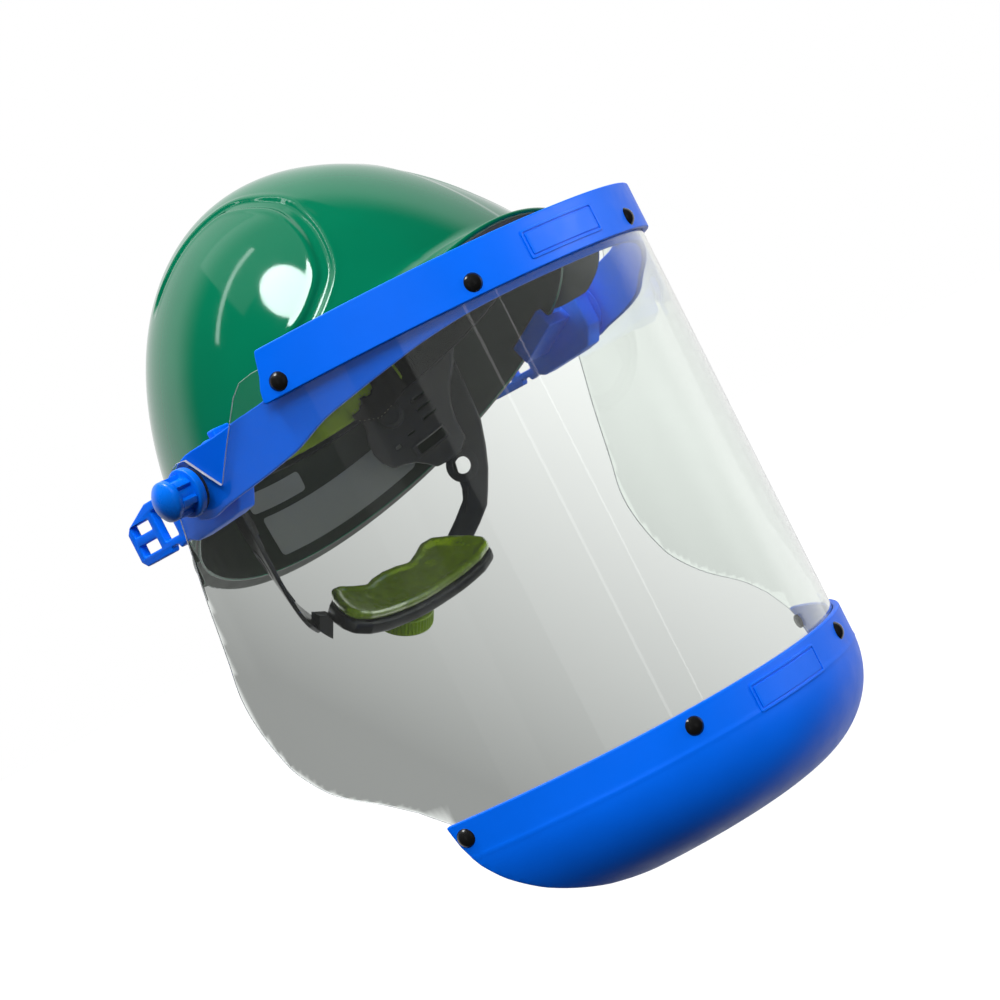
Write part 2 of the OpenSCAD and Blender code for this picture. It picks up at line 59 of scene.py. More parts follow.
def plan(s, o):
    """Point on the shield's plan curve, s along it from the front, o outside the visor's face."""
    side, s = (1, s) if s >= 0 else (-1, -s)
    if s < S_JOIN:
        a = s / FRONT_R
        x, y = (FRONT_R + o) * math.sin(a), FRONT_CY - (FRONT_R + o) * math.cos(a)
    elif s < S_STRAIGHT:
        a = JOIN_A + (s - S_JOIN) / SIDE_R
        x, y = -SIDE_CX + (SIDE_R + o) * math.sin(a), SIDE_Y - (SIDE_R + o) * math.cos(a)
    else:
        x, y = HALF_WIDTH + o, SIDE_Y + s - S_STRAIGHT
    return side * x, y


def along(y, o=0.0):
    """Distance round the plan curve, from the front, of the point at depth y and offset o."""
    if y > SIDE_Y:
        return S_STRAIGHT + y - SIDE_Y
    a = math.acos(min(1, (SIDE_Y - y) / (SIDE_R + o)))
    if a >= JOIN_A:
        return S_JOIN + SIDE_R * (a - JOIN_A)
    return FRONT_R * math.acos(min(1, max(-1, (FRONT_CY - y) / (FRONT_R + o))))


# ---- Headband ellipse --------------------------------------------------------------------------

BAND_A, BAND_B, BAND_CY = 76.0, 87.0, -6.0
_theta = np.linspace(-math.pi / 2, 3 * math.pi / 2, 1441)
_step = np.hypot(np.diff(BAND_A * np.cos(_theta)), np.diff(BAND_B * np.sin(_theta)))
_reach = np.concatenate([[0], np.cumsum(_step)])
BAND_LENGTH = float(_reach[-1])


def band(s, o):
    """Point on the headband's ellipse, s along it from the forehead by way of the left ear."""
    t = float(np.interp(s % BAND_LENGTH, _reach, _theta))
    return (BAND_A + o) * math.cos(t), BAND_CY + (BAND_B + o) * math.sin(t)


def band_s(y, o=0.0):
    """Distance along the headband, on the left side, of the point at depth y and offset o."""
    t = math.asin(max(-1, min(1, (y - BAND_CY) / (BAND_B + o))))
    return float(np.interp(t, _theta, _reach))


# ---- Outlines ----------------------------------------------------------------------------------


def fillet(points, r):
    """A closed outline with its corners rounded to radius r, or less where an edge is short."""
    out = []
    n, steps = len(points), 4
    for i in range(n):
        a, b, c = (Vector(points[(i + k) % n][:2]) for k in (-1, 0, 1))
        u, v = a - b, c - b
        if u.length < 1e-6 or v.length < 1e-6:
            continue
        corner = u.angle(v, math.pi)
        if corner > rad(172):
            out.append(tuple(b))
            continue
        reach = min(r / math.tan(corner / 2), 0.45 * u.length, 0.45 * v.length)
        p, q = b + u.normalized() * reach, b + v.normalized() * reach
        for k in range(steps + 1):
            t = k / steps
            out.append(tuple(p * (1 - t) ** 2 + b * 2 * t * (1 - t) + q * t * t))
    return out


def spline(points, steps=4):
    """An open line smoothed through its points."""
    p = [Vector(q) for q in points]
    p = [2 * p[0] - p[1]] + p + [2 * p[-1] - p[-2]]
    out = []
    for i in range(1, len(p) - 2):
        for k in range(steps):
            t = k / steps
            out.append(tuple(0.5 * (2 * p[i] + (p[i + 1] - p[i - 1]) * t
                + (2 * p[i - 1] - 5 * p[i] + 4 * p[i + 1] - p[i + 2]) * t * t
                + (3 * p[i] - p[i - 1] - 3 * p[i + 1] + p[i + 2]) * t ** 3)))
    return out + [tuple(p[-2])]


def box_outline(x0, x1, y0, y1, r):
    return fillet([(x0, y0), (x1, y0), (x1, y1), (x0, y1)], r)


def mirrored(points):
    """The outline of a shape that is the same on both sides, from its half at x > 0."""
    return points + [(-x, y) for x, y in reversed(points)]


def circle(cx, cy, r, n=32):
    return [(cx + r * math.cos(2 * math.pi * k / n), cy + r * math.sin(2 * math.pi * k / n))
            for k in range(n)]


# ---- Meshes ------------------------------------------------------------------------------------


def slab(loops, t, edge, x_cut=0.0, y_cut=0.0):
    """A flat plate about z = 0 from a rim outline and hole outlines, t thick, its edges rounded
    to radius edge, cut across every x_cut and y_cut so that it can be bent."""
    curve = bpy.data.curves.new("outline", "CURVE")
    curve.dimensions, curve.fill_mode = "2D", "BOTH"
    for points in loops:
        line = curve.splines.new("POLY")
        line.points.add(len(points) - 1)
        for p, q in zip(line.points, points):
            p.co = (q[0], q[1], 0, 1)
        line.use_cyclic_u = True
    curve.extrude, curve.bevel_depth = t / 2 - edge, edge
    curve.bevel_resolution, curve.offset = 2, -edge
    holder = bpy.data.objects.new("outline", curve)
    bpy.context.scene.collection.objects.link(holder)
    graph = bpy.context.evaluated_depsgraph_get()
    mesh = bpy.data.meshes.new_from_object(holder.evaluated_get(graph))
    bm = bmesh.new()
    bm.from_mesh(mesh)
    bpy.data.objects.remove(holder)
    bpy.data.curves.remove(curve)
    bpy.data.meshes.remove(mesh)
    bmesh.ops.remove_doubles(bm, verts=bm.verts, dist=1e-3)
    bmesh.ops.recalc_face_normals(bm, faces=bm.faces)
    for axis, step in ((0, x_cut), (1, y_cut)):
        if not step:
            continue
        values = [v.co[axis] for v in bm.verts]
        normal = Vector((1 - axis, axis, 0))
        for k in range(math.ceil(min(values) / step), math.floor(max(values) / step) + 1):
            bmesh.ops.bisect_plane(bm, geom=bm.verts[:] + bm.edges[:] + bm.faces[:], dist=1e-4,
                                   plane_co=normal * k * step, plane_no=normal)
    return bm


def grid_mesh(rows):
    """A closed mesh through rows of points, each row a ring, capped at both ends."""
    bm = bmesh.new()
    verts = [[bm.verts.new(p) for p in row] for row in rows]
    n = len(rows[0])
    for a, b in zip(verts, verts[1:]):
        for i in range(n):
            bm.faces.new((a[i], a[(i + 1) % n], b[(i + 1) % n], b[i]))
    bm.faces.new(list(reversed(verts[0])))
    bm.faces.new(verts[-1])
    bmesh.ops.recalc_face_normals(bm, faces=bm.faces)
    return bm


def lathe(profile, n=64, radius=lambda r, z, a: r):
    """A solid of revolution about Z from (radius, height) points, from axis to axis. radius can
    vary it round the axis."""
    rows = []
    for r, z in profile:
        rows.append([(radius(r, z, 2 * math.pi * k / n) * math.cos(2 * math.pi * k / n),
                      radius(r, z, 2 * math.pi * k / n) * math.sin(2 * math.pi * k / n), z)
                     for k in range(n)])
    return grid_mesh(rows)


def rounded_profile(r, z0, z1, edge):
    """(radius, height) points of a disc with rounded rims, without its two end faces."""
    out, steps = [], 3
    for k in range(steps + 1):
        a = math.pi / 2 * k / steps
        out.append((r - edge + edge * math.sin(a), z0 + edge - edge * math.cos(a)))
    for k in range(steps + 1):
        a = math.pi / 2 * k / steps
        out.append((r - edge + edge * math.cos(a), z1 - edge + edge * math.sin(a)))
    return out


def warp(bm, to):
    """Moves each vertex to to(x, y, z)."""
    for v in bm.verts:
        v.co = to(*v.co)
    return bm


def moved(bm, matrix):
    bmesh.ops.transform(bm, matrix=matrix, verts=bm.verts)
    if matrix.determinant() < 0:
        bmesh.ops.reverse_faces(bm, faces=bm.faces)
    return bm


def joined(parts):
    """One mesh from several; each is used up."""
    out = bmesh.new()
    for part in parts:
        mesh = bpy.data.meshes.new("part")
        part.to_mesh(mesh)
        part.free()
        out.from_mesh(mesh)
        bpy.data.meshes.remove(mesh)
    return out


def build(name, bm, mat, body, nodes=(), at=Matrix.Identity(4), sharp=35):
    """A finished piece from a mesh in millimetres, placed by the matrix at."""
    moved(bm, at)
    bmesh.ops.scale(bm, vec=(0.001, 0.001, 0.001), verts=bm.verts)
    mesh = bpy.data.meshes.new(name)
    bm.to_mesh(mesh)
    bm.free()
    mesh.materials.append(mat)
    mesh.shade_smooth()
    if sharp:
        mesh.set_sharp_from_angle(angle=rad(sharp))
    obj = bpy.data.objects.new(name, mesh)
    bpy.context.scene.collection.objects.link(obj)
    settle(obj, body, nodes)
    return obj


def settle(obj, body, nodes=()):
    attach(obj, body)
    if nodes:
        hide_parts(*nodes)


def applied(obj):
    """Bakes obj's modifiers into its mesh."""
    graph = bpy.context.evaluated_depsgraph_get()
    mesh = bpy.data.meshes.new_from_object(obj.evaluated_get(graph))
    obj.modifiers.clear()
    old, obj.data = obj.data, mesh
    mesh.name = old.name
    bpy.data.meshes.remove(old)


# ---- Materials ---------------------------------------------------------------------------------


def new_material(name, **sockets):
    mat = bpy.data.materials.new(name)
    mat.use_nodes = True
    tree = mat.node_tree
    shader = tree.nodes["Principled BSDF"]
    for key, value in sockets.items():
        shader.inputs[key.replace("_", " ")].default_value = value
    return mat, tree, shader


def node(tree, kind, inputs=None, **props):
    n = tree.nodes.new(kind)
    for key, value in props.items():
        setattr(n, key, value)
    for key, value in (inputs or {}).items():
        if isinstance(value, bpy.types.NodeSocket):
            tree.links.new(value, n.inputs[key])
        else:
            n.inputs[key].default_value = value
    return n


def maths(tree, op, *values):
    n = node(tree, "ShaderNodeMath", operation=op)
    for socket, value in zip(n.inputs, values):
        if isinstance(value, bpy.types.NodeSocket):
            tree.links.new(value, socket)
        else:
            socket.default_value = value
    return n.outputs[0]


def spread(tree, value, low, high):
    """value, from 0.3 to 0.7, mapped to low..high."""
    return node(tree, "ShaderNodeMapRange", {"Value": value, "From Min": 0.3, "From Max": 0.7,
                                             "To Min": low, "To Max": high}).outputs[0]


def noise(tree, size, detail=3.0):
    """Noise with features about size millimetres across."""
    place = node(tree, "ShaderNodeTexCoord").outputs["Object"]
    return node(tree, "ShaderNodeTexNoise", {"Vector": place, "Scale": 1000 / size,
                                             "Detail": detail}).outputs[0]


def tint(tree, fac, dark, light):
    mix = node(tree, "ShaderNodeMix", data_type="RGBA")
    tree.links.new(fac, mix.inputs[0])
    mix.inputs[6].default_value = (*dark, 1)
    mix.inputs[7].default_value = (*light, 1)
    return mix.outputs[2]


def plastic(name, colour, rough, drift=0.06, uneven=0.05, grain=0.0, grain_size=0.5, **sockets):
    """Moulded plastic: a slight drift of colour and gloss, and a fine moulded grain."""
    mat, tree, shader = new_material(name, **sockets)
    slow = noise(tree, 40)
    dark = [c * (1 - drift) for c in colour]
    light = [min(1, c * (1 + drift)) for c in colour]
    tree.links.new(tint(tree, spread(tree, slow, 0, 1), dark, light), shader.inputs["Base Color"])
    smear = noise(tree, 9, 5.0)
    tree.links.new(spread(tree, smear, rough - uneven, rough + uneven), shader.inputs["Roughness"])
    if grain:
        bump = node(tree, "ShaderNodeBump", {"Height": noise(tree, grain_size, 2.0),
                                             "Strength": grain, "Distance": 0.0002})
        tree.links.new(bump.outputs[0], shader.inputs["Normal"])
    return mat


def woven(name, warp_colour, weft_colour, pitch, **sockets):
    """Cloth woven at pitch millimetres, laid out along the mesh's own 'flat' attribute."""
    mat, tree, shader = new_material(name, **sockets)
    flat = node(tree, "ShaderNodeAttribute", attribute_name="flat").outputs["Vector"]
    parts = node(tree, "ShaderNodeSeparateXYZ", {"Vector": flat})
    across = [maths(tree, "MULTIPLY", parts.outputs[k], math.pi / pitch) for k in range(2)]
    sines = [maths(tree, "SINE", turn) for turn in across]
    over = maths(tree, "GREATER_THAN", maths(tree, "MULTIPLY", sines[0], sines[1]), 0.0)
    ridge = [maths(tree, "ABSOLUTE", s) for s in sines]
    height = node(tree, "ShaderNodeMix", {0: over, 2: ridge[0], 3: ridge[1]}, data_type="FLOAT")
    fuzz = noise(tree, 0.35, 2.0)
    level = maths(tree, "ADD", height.outputs[0], maths(tree, "MULTIPLY", fuzz, 0.5))
    bump = node(tree, "ShaderNodeBump", {"Height": level, "Strength": 0.6, "Distance": 0.00015})
    tree.links.new(bump.outputs[0], shader.inputs["Normal"])
    base = tint(tree, over, warp_colour, weft_colour)
    # Painted shade: the colour is darker in the low parts of the weave, following the weave's
    # height, and also varies in tone at random.
    shade = maths(tree, "ADD", maths(tree, "MULTIPLY", height.outputs[0], 0.45),
                  spread(tree, noise(tree, 6), 0.5, 0.75))
    shaded_weave_colour = node(tree, "ShaderNodeVectorMath", {0: base}, operation="SCALE")
    tree.links.new(shade, shaded_weave_colour.inputs["Scale"])
    tree.links.new(shaded_weave_colour.outputs[0], shader.inputs["Base Color"])
    tree.links.new(spread(tree, fuzz, 0.77, 0.93), shader.inputs["Roughness"])
    return mat


def clear_sheet(name, colour, ior, rough):
    """Clear plastic that lets light from lamps straight through."""
    mat, tree, shader = new_material(name, IOR=ior, Transmission_Weight=1.0)
    haze = noise(tree, 14, 4.0)
    tree.links.new(spread(tree, haze, rough, rough * 2.5), shader.inputs["Roughness"])
    tree.links.new(tint(tree, spread(tree, noise(tree, 60), 0, 1), colour,
                        [min(1, c * 1.01) for c in colour]), shader.inputs["Base Color"])
    through = node(tree, "ShaderNodeBsdfTransparent", {"Color": (*colour, 1)})
    path = node(tree, "ShaderNodeLightPath")
    mix = node(tree, "ShaderNodeMixShader", {0: path.outputs["Is Shadow Ray"]})
    tree.links.new(shader.outputs[0], mix.inputs[1])
    tree.links.new(through.outputs[0], mix.inputs[2])
    tree.links.new(mix.outputs[0], tree.nodes["Material Output"].inputs["Surface"])
    return mat


GREEN = plastic("gloss_green", (0.0, 0.145, 0.068), 0.07, drift=0.04, uneven=0.02, grain=0.02,
                grain_size=2.5, Specular_IOR_Level=0.42, Specular_Tint=(0.85, 1.0, 0.97, 1))
# Inside of the shell and under its rim: a dark olive colour, darkened further as painted shade of
# the inside.
LINER = plastic("shell_inside", (0.02, 0.032, 0.016), 0.4, drift=0.12, grain=0.1, grain_size=0.7,
                Specular_IOR_Level=0.25)
BLUE = plastic("matte_blue", (0.0, 0.135, 0.86), 0.42, drift=0.05, grain=0.12, grain_size=0.45,
               Specular_IOR_Level=0.16)
KNOB_BLUE = plastic("satin_blue", (0.0, 0.17, 0.9), 0.3, drift=0.05, grain=0.06, grain_size=0.4,
                    Specular_IOR_Level=0.35)
DARK = plastic("dark_plastic", (0.014, 0.015, 0.014), 0.38, drift=0.15, grain=0.08, grain_size=0.5)
PLATE = plastic("dark_grey_plastic", (0.085, 0.082, 0.078), 0.45, drift=0.1, grain=0.08,
                grain_size=0.5)
GREY = plastic("grey_plastic", (0.25, 0.25, 0.24), 0.4, drift=0.08, grain=0.15, grain_size=0.6)
BLACK = plastic("gloss_black", (0.012, 0.012, 0.012), 0.22, drift=0.2, grain=0.05, grain_size=0.4)
LIME = plastic("lime_plastic", (0.33, 0.52, 0.012), 0.33, drift=0.06, grain=0.1, grain_size=0.5)
# Labels inside the shell: their colour is darkened as painted shade of the shell's inside.
STICKER = plastic("plain_sticker", (0.42, 0.43, 0.4), 0.42, drift=0.05, grain=0.05, grain_size=1.2)
METAL = plastic("zinc_steel", (0.6, 0.6, 0.58), 0.3, grain=0.1, grain_size=0.3, Metallic=1.0)
BRASS = plastic("brass", (0.78, 0.56, 0.24), 0.28, grain=0.1, grain_size=0.3, Metallic=1.0)
WEBBING = woven("webbing", (0.018, 0.018, 0.018), (0.03, 0.03, 0.03), 0.9, Sheen_Weight=0.3)
DARK_CLOTH = woven("dark_textile", (0.035, 0.03, 0.024), (0.05, 0.043, 0.034), 0.7,
                   Sheen_Weight=0.35)
LIME_CLOTH = woven("lime_textile", (0.40, 0.58, 0.02), (0.47, 0.66, 0.03), 0.7,
                   Sheen_Weight=0.35)
THREAD = woven("thread", (0.36, 0.33, 0.26), (0.42, 0.39, 0.3), 0.4)
GEL = plastic("lime_gel", (0.34, 0.52, 0.0), 0.26, drift=0.08, grain=0.05, grain_size=1.5,
              Transmission_Weight=0.45, IOR=1.4, Specular_IOR_Level=0.3)
CLEAR = clear_sheet("clear_sheet", (0.89, 0.925, 0.895), 1.5, 0.01)
CUT_EDGE = plastic("frosted_cut_edge", (0.6, 0.6, 0.64), 0.35, drift=0.05, grain=0.2,
                   grain_size=0.6, Transmission_Weight=0.35)


# ---- Camera ------------------------------------------------------------------------------------

camera = bpy.data.objects.new("camera", bpy.data.cameras.new("camera"))
bpy.context.scene.collection.objects.link(camera)
camera.data.sensor_width, camera.data.lens = 36, 89.966
camera.data.clip_start, camera.data.clip_end = 0.05, 40
right = Vector((0.6575908, -0.60301215, -0.45160899))
up = Vector((0.34254394, -0.29458322, 0.89212352))
back = right.cross(up)
camera.matrix_world = Matrix.Translation((-0.71266, -0.80807, -0.04584)) @ Matrix(
    (right, up, back)).transposed().to_4x4()
bpy.context.scene.camera = camera
bpy.context.scene.view_settings.view_transform = "Standard"

# ---- Shield ------------------------------------------------------------------------------------


def on_plan(middle):
    """Bends a slab drawn as (along the plan curve, height) round the shield, its middle plane at
    offset middle."""
    def to(s, z, t):
        x, y = plan(s, middle + t)
        return x, y, z
    return to


# Layers of the shield: thickness of each, and offset of its middle from the visor's outer face
GUARD_T, VISOR_T = 2.8, 1.5
BROW_O, VISOR_O, CARRIER_O = 1.6, -0.75, -3.1
brow_end = [(along(y, BROW_O), z) for y, z in
            [(-48.4, 15.4), (-49.4, 21), (-51.5, 26), (-53.2, 33), (-54.1, 35.8)]]
brow = slab([fillet(mirrored(brow_end), 1.4)], GUARD_T, 0.55, x_cut=3)
build("browguard", warp(brow, on_plan(BROW_O)), BLUE, "shield", ["browguard"])


def blank_plate(z0, z1):
    """A plain raised plate with a thin engraved frame, proud of the guard's face."""
    frame_part = slab([box_outline(-21, 21, z0, z1, 1.2),
                       box_outline(-20, 20, z0 + 1, z1 - 1, 0.8)], 0.5, 0.2, x_cut=3)
    inner = slab([box_outline(-19.4, 19.4, z0 + 1.6, z1 - 1.6, 0.6)], 0.5, 0.2, x_cut=3)
    return joined([warp(p, on_plan(3.23)) for p in (frame_part, inner)])


build("brow_plate", blank_plate(19.2, 31.4), BLUE, "shield")
build("chin_plate", blank_plate(-178.4, -166.2), BLUE, "shield")

carrier_low = spline([(-117, 12.4), (-108, 11.6), (-96, 9.1), (-88, 6.9), (-74, 3.3), (-61.5, 0),
                      (-50, -5), (-40.6, -7.4), (-27.6, -9.6), (-9, -12), (0, -13.6), (8, -12)])
carrier_high = spline([(9, 10), (0, 13.8), (-18, 14.6), (-35, 16.4), (-43, 17.2), (-50, 19),
                       (-55, 24), (-59, 34)])
carrier_half = [(along(y, CARRIER_O), z) for y, z in
                carrier_low + [(12.5, -5), (12.5, 5)] + carrier_high]
carrier_rim = fillet([(0, 12.4)] + carrier_half + [(-s, z) for s, z in reversed(carrier_half)],
                     1.5)
carrier = warp(slab([carrier_rim], GUARD_T, 0.6, x_cut=3), on_plan(CARRIER_O))
hubs = []
for turn in (Matrix.Identity(4), MIRROR):
    hub = lathe(rounded_profile(12, 117.35, 120.3, 0.6), 64)
    hubs.append(moved(moved(hub, SIDEWAYS), turn))
build("carrier_frame", joined([carrier] + hubs), BLUE, "shield", ["carrier_frame"])

visor_half = [(along(y, VISOR_O), z) for y, z in
              [(-45.2, -179.5), (-42, -171), (-37, -163)]
              + spline([(-26, -153.5), (-12, -145), (10, -134.5), (25, -122), (31, -112),
                        (35, -101), (37, -90), (36.4, -80), (33, -67), (27.5, -42), (22, -22),
                        (18, -7), (15, 1), (10, 10), (4, 12.6)])
              + [(-1, 12), (-13, -4), (-36, 24), (-41, 28), (-47, 29)]]
pivot_s = along(0)
visor = slab([fillet(mirrored(visor_half), 0.8), circle(pivot_s, 0, 3.9), circle(-pivot_s, 0, 3.9)],
             VISOR_T, 0.3, x_cut=3)
for face in visor.faces:
    face.material_index = abs(face.normal.z) < 0.8
visor = build("visor", warp(visor, on_plan(VISOR_O)), CLEAR, "shield", ["visor"])
visor.data.materials.append(CUT_EDGE)

# Chin guard: drawn flat as (along the plan curve, down from its upper edge)
CHIN_TOP, CHIN_BEND, SCOOP_R = -162.8, -177.0, 40.0
BAND_V = CHIN_TOP - CHIN_BEND
SCOOP_MID = SCOOP_R - GUARD_T / 2


def scoop(v, t):
    """Offset and height of the chin guard v below its upper edge, t outside its middle."""
    if v <= BAND_V:
        return BROW_O + t, CHIN_TOP - v
    a = (v - BAND_V) / SCOOP_MID
    return (BROW_O - SCOOP_MID + (SCOOP_MID + t) * math.cos(a),
            CHIN_BEND - (SCOOP_MID + t) * math.sin(a))


chin_cut = [(-36, -160), (-38.5, -172), (-42, -181), (-47, -190), (-54, -200), (-64, -211),
            (-76, -219), (-90, -224)]
V_END = BAND_V + SCOOP_MID * math.pi / 2 - 0.4
chin_end = []
for k in range(33):
    v = V_END * k / 32
    o, z = scoop(v, 0)
    y = float(np.interp(-z, [-c[1] for c in chin_cut], [c[0] for c in chin_cut]))
    chin_end.append((along(y, o), v))
chin = slab([fillet(mirrored(chin_end), 1.2)], GUARD_T, 0.55, x_cut=3, y_cut=2.5)


def on_scoop(s, v, t):
    crease = 0.22 * math.exp(-((v - BAND_V - 0.6) / 0.7) ** 2) if t > 0.8 else 0
    o, z = scoop(v, t + crease)
    x, y = plan(s, o)
    return x, y, z


build("chin_guard", warp(chin, on_scoop), BLUE, "shield", ["chin_guard"])


def rivet(inner):
    """Domed head outside the guard, shaft, and a flat washer head at offset inner."""
    r, h = 3.9, 2.2
    dome = (r * r + h * h) / (2 * h)
    profile = [(0.001, 3.02 + h)]
    for k in range(1, 13):
        a = math.asin(r / dome) * k / 12
        profile.append((dome * math.sin(a), 3.02 + h - dome + dome * math.cos(a)))
    profile += [(3.86, 3.0), (1.6, 3.0), (1.6, inner - 0.05), (3.0, inner - 0.02),
                (3.2, inner - 0.2), (3.2, inner - 1.0), (2.9, inner - 1.2), (0.001, inner - 1.22)]
    return lathe(list(reversed(profile)), 40)


def at_rivets(front_a, side_a, z):
    out = []
    for sign in (1, -1):
        for a, cx, cy, r in ((front_a, 0, FRONT_CY, FRONT_R), (side_a, -SIDE_CX, SIDE_Y, SIDE_R)):
            place = (Matrix.Translation((cx, cy, z)) @ Matrix.Rotation(rad(a), 4, "Z")
                     @ Matrix.Translation((0, -r, 0)) @ Matrix.Rotation(rad(90), 4, "X"))
            out.append(MIRROR @ place if sign < 0 else place)
    return out


for name, spots, inner in (("top_rivets", at_rivets(24.1, 60.7, 21), -4.5),
                           ("bottom_rivets", at_rivets(24.6, 67, -169.4), -1.5)):
    build(name, joined([moved(rivet(inner), spot) for spot in spots]), BLACK, "shield", [name])

# ---- Pivot knobs -------------------------------------------------------------------------------

FLANGE_IN = 126.95


def knob_radius(r, z, a):
    """Six finger ribs between the flange and the cap."""
    if not 3.6 < z < 10.8:
        return r
    lobe = abs((math.degrees(a) + 30) % 60 - 30)
    t = min(1, max(0, (15.5 - lobe) / 6))
    return r + 1.75 * t * t * (3 - 2 * t)


knob_profile = [(0.001, 0)] + rounded_profile(10.25, 0, 3.4, 0.7)
knob_profile += [(7.2, 3.45), (6.7, 3.8), (6.6, 4.6), (6.6, 6), (6.6, 8), (6.6, 10.2), (6.7, 10.7),
                 (7.8, 10.9), (8.25, 11.1), (8.4, 11.5), (8.4, 12.9), (8.3, 13.3)]
for k in range(1, 11):
    a = math.asin(8.3 / 12) * (1 - k / 10)
    knob_profile.append((max(0.001, 12 * math.sin(a)), 13.3 - 8.6 + 12 * math.cos(a)))
for side, turn in (("left", Matrix.Identity(4)), ("right", MIRROR)):
    place = turn @ Matrix.Translation((FLANGE_IN, 0, 0)) @ SIDEWAYS
    build("knob_" + side, moved(lathe(knob_profile, 120, knob_radius), place), KNOB_BLUE,
          "knob_" + side, ["knob_" + side])

# ---- Adapter clips and buckles -----------------------------------------------------------------

PUSH = Matrix(((0, 0, 1, 0), (1, 0, 0, 0), (0, 1, 0, 0), (0, 0, 0, 1)))


def side_slab(loops, x0, x1, edge):
    """A plate across X from outlines of (y, z)."""
    return moved(slab(loops, x1 - x0, edge), Matrix.Translation(((x0 + x1) / 2, 0, 0)) @ PUSH)


def adapter():
    block = side_slab([fillet([(-6, -16), (1, -17), (28, -18.4), (34, -16), (34, -3), (25, 4),
                               (12, 11), (-2, 12), (-12, 8), (-12, -8)], 2.0)], 105, 114, 1.0)
    lugs = [side_slab([box_outline(-14, -9, 7, 18, 1)], 105, 114, 0.8),
            side_slab([box_outline(-7, -2.5, 9, 15.5, 1)], 105, 114, 0.8)]
    hub = moved(lathe(rounded_profile(9, 112, 117, 0.5), 64), SIDEWAYS)
    clip = slab([fillet([(90.5, -6), (109.3, -6), (109.3, 7), (104.5, 7), (104.5, -0.6),
                         (94.3, -0.6), (94.3, 4), (90.5, 4)], 1.0)], 27, 0.8)
    upright = Matrix(((1, 0, 0, 0), (0, 0, -1, -20.6 + 9.5), (0, 1, 0, 0), (0, 0, 0, 1)))
    return joined([block, hub, moved(clip, HELMET @ upright)] + lugs)


def buckle():
    rim = fillet([(34.2, -16), (42, -17.4), (43, -15.4), (48, -15.4), (49, -17.6), (70, -17.6),
                  (73, -15), (73, -2), (70, 0.5), (53, 6.2), (40, 6.2), (34.2, 0)], 1.2)
    holes = [box_outline(39.5, 50.5, -12, 2, 1), box_outline(55, 69, -4.6, -0.2, 0.8),
             box_outline(55, 69, -13.4, -8.8, 0.8)]
    return side_slab([rim] + holes, 109.5, 113.5, 0.7)


for side, turn in (("left", Matrix.Identity(4)), ("right", MIRROR)):
    build("adapter_" + side, moved(adapter(), turn), BLUE, "helmet", ["adapter_" + side])
    build("strap_buckle_" + side, moved(buckle(), turn), BLUE, "helmet",
          ["strap_buckle_" + side])

# ---- Helmet shell ------------------------------------------------------------------------------

SHELL = np.array([108.0, 115.6, 178.2])
RISE, WALL, PEAK, LIP = 57.2, 3.0, 18, 1.3
# Height above the rim at which the inside of the wall ends, and latitude where the top closes
SKIRT, POLE = 0.6, math.pi / 2 - 0.012


def smooth(x):
    x = np.clip(x, 0, 1)
    return x * x * (3 - 2 * x)


def dome_point(f, v, grow=0.0):
    """Point of the ellipsoid at azimuth f from the front and latitude v, grown by grow."""
    a, b, c = SHELL + grow
    return np.stack([a * np.cos(v) * np.sin(f), -b * np.cos(v) * np.cos(f),
                     c * np.sin(v) - RISE + 0 * f], -1)


groove_line = np.array(spline([(-61, 4, 88), (-55, -8, 95), (-45, -23, 101), (-37, -36, 101.5),
                               (-31.8, -46, 98), (-30.5, -58, 88), (-31, -70, 75), (-36, -78, 60),
                               (-42.5, -83, 45.5), (-51.6, -84.5, 30), (-62, -80, 20.6),
                               (-71, -73, 15.5), (-80, -62, 14)], 6))


def relief(points):
    """How far the shell's outer face stands out: a channel round each side, a low crown ridge."""
    folded = points * np.array([-1, 1, 1]) * np.sign(points[:, :1] + 1e-9)
    folded[:, 1:] = points[:, 1:]
    far = np.full(len(points), 1e9)
    place = np.zeros(len(points))
    for i in range(len(groove_line) - 1):
        a, d = groove_line[i], groove_line[i + 1] - groove_line[i]
        t = np.clip(((folded - a) @ d) / (d @ d), 0, 1)
        gap = np.linalg.norm(folded - a - t[:, None] * d, axis=1)
        closer = gap < far
        far[closer], place[closer] = gap[closer], (i + t[closer]) / (len(groove_line) - 1)
    fade = smooth(place / 0.06) * smooth((1 - place) / 0.08)
    channel = -1.3 * (1 - smooth((far - 1.5) / 2.6)) + 0.2 * np.exp(-((far - 5) / 1.5) ** 2)
    x, y, z = points.T
    ridge = 0.5 * (1 - smooth((np.abs(x) - 25) / 5)) * smooth((-55 - y) / 25)
    return channel * fade + ridge


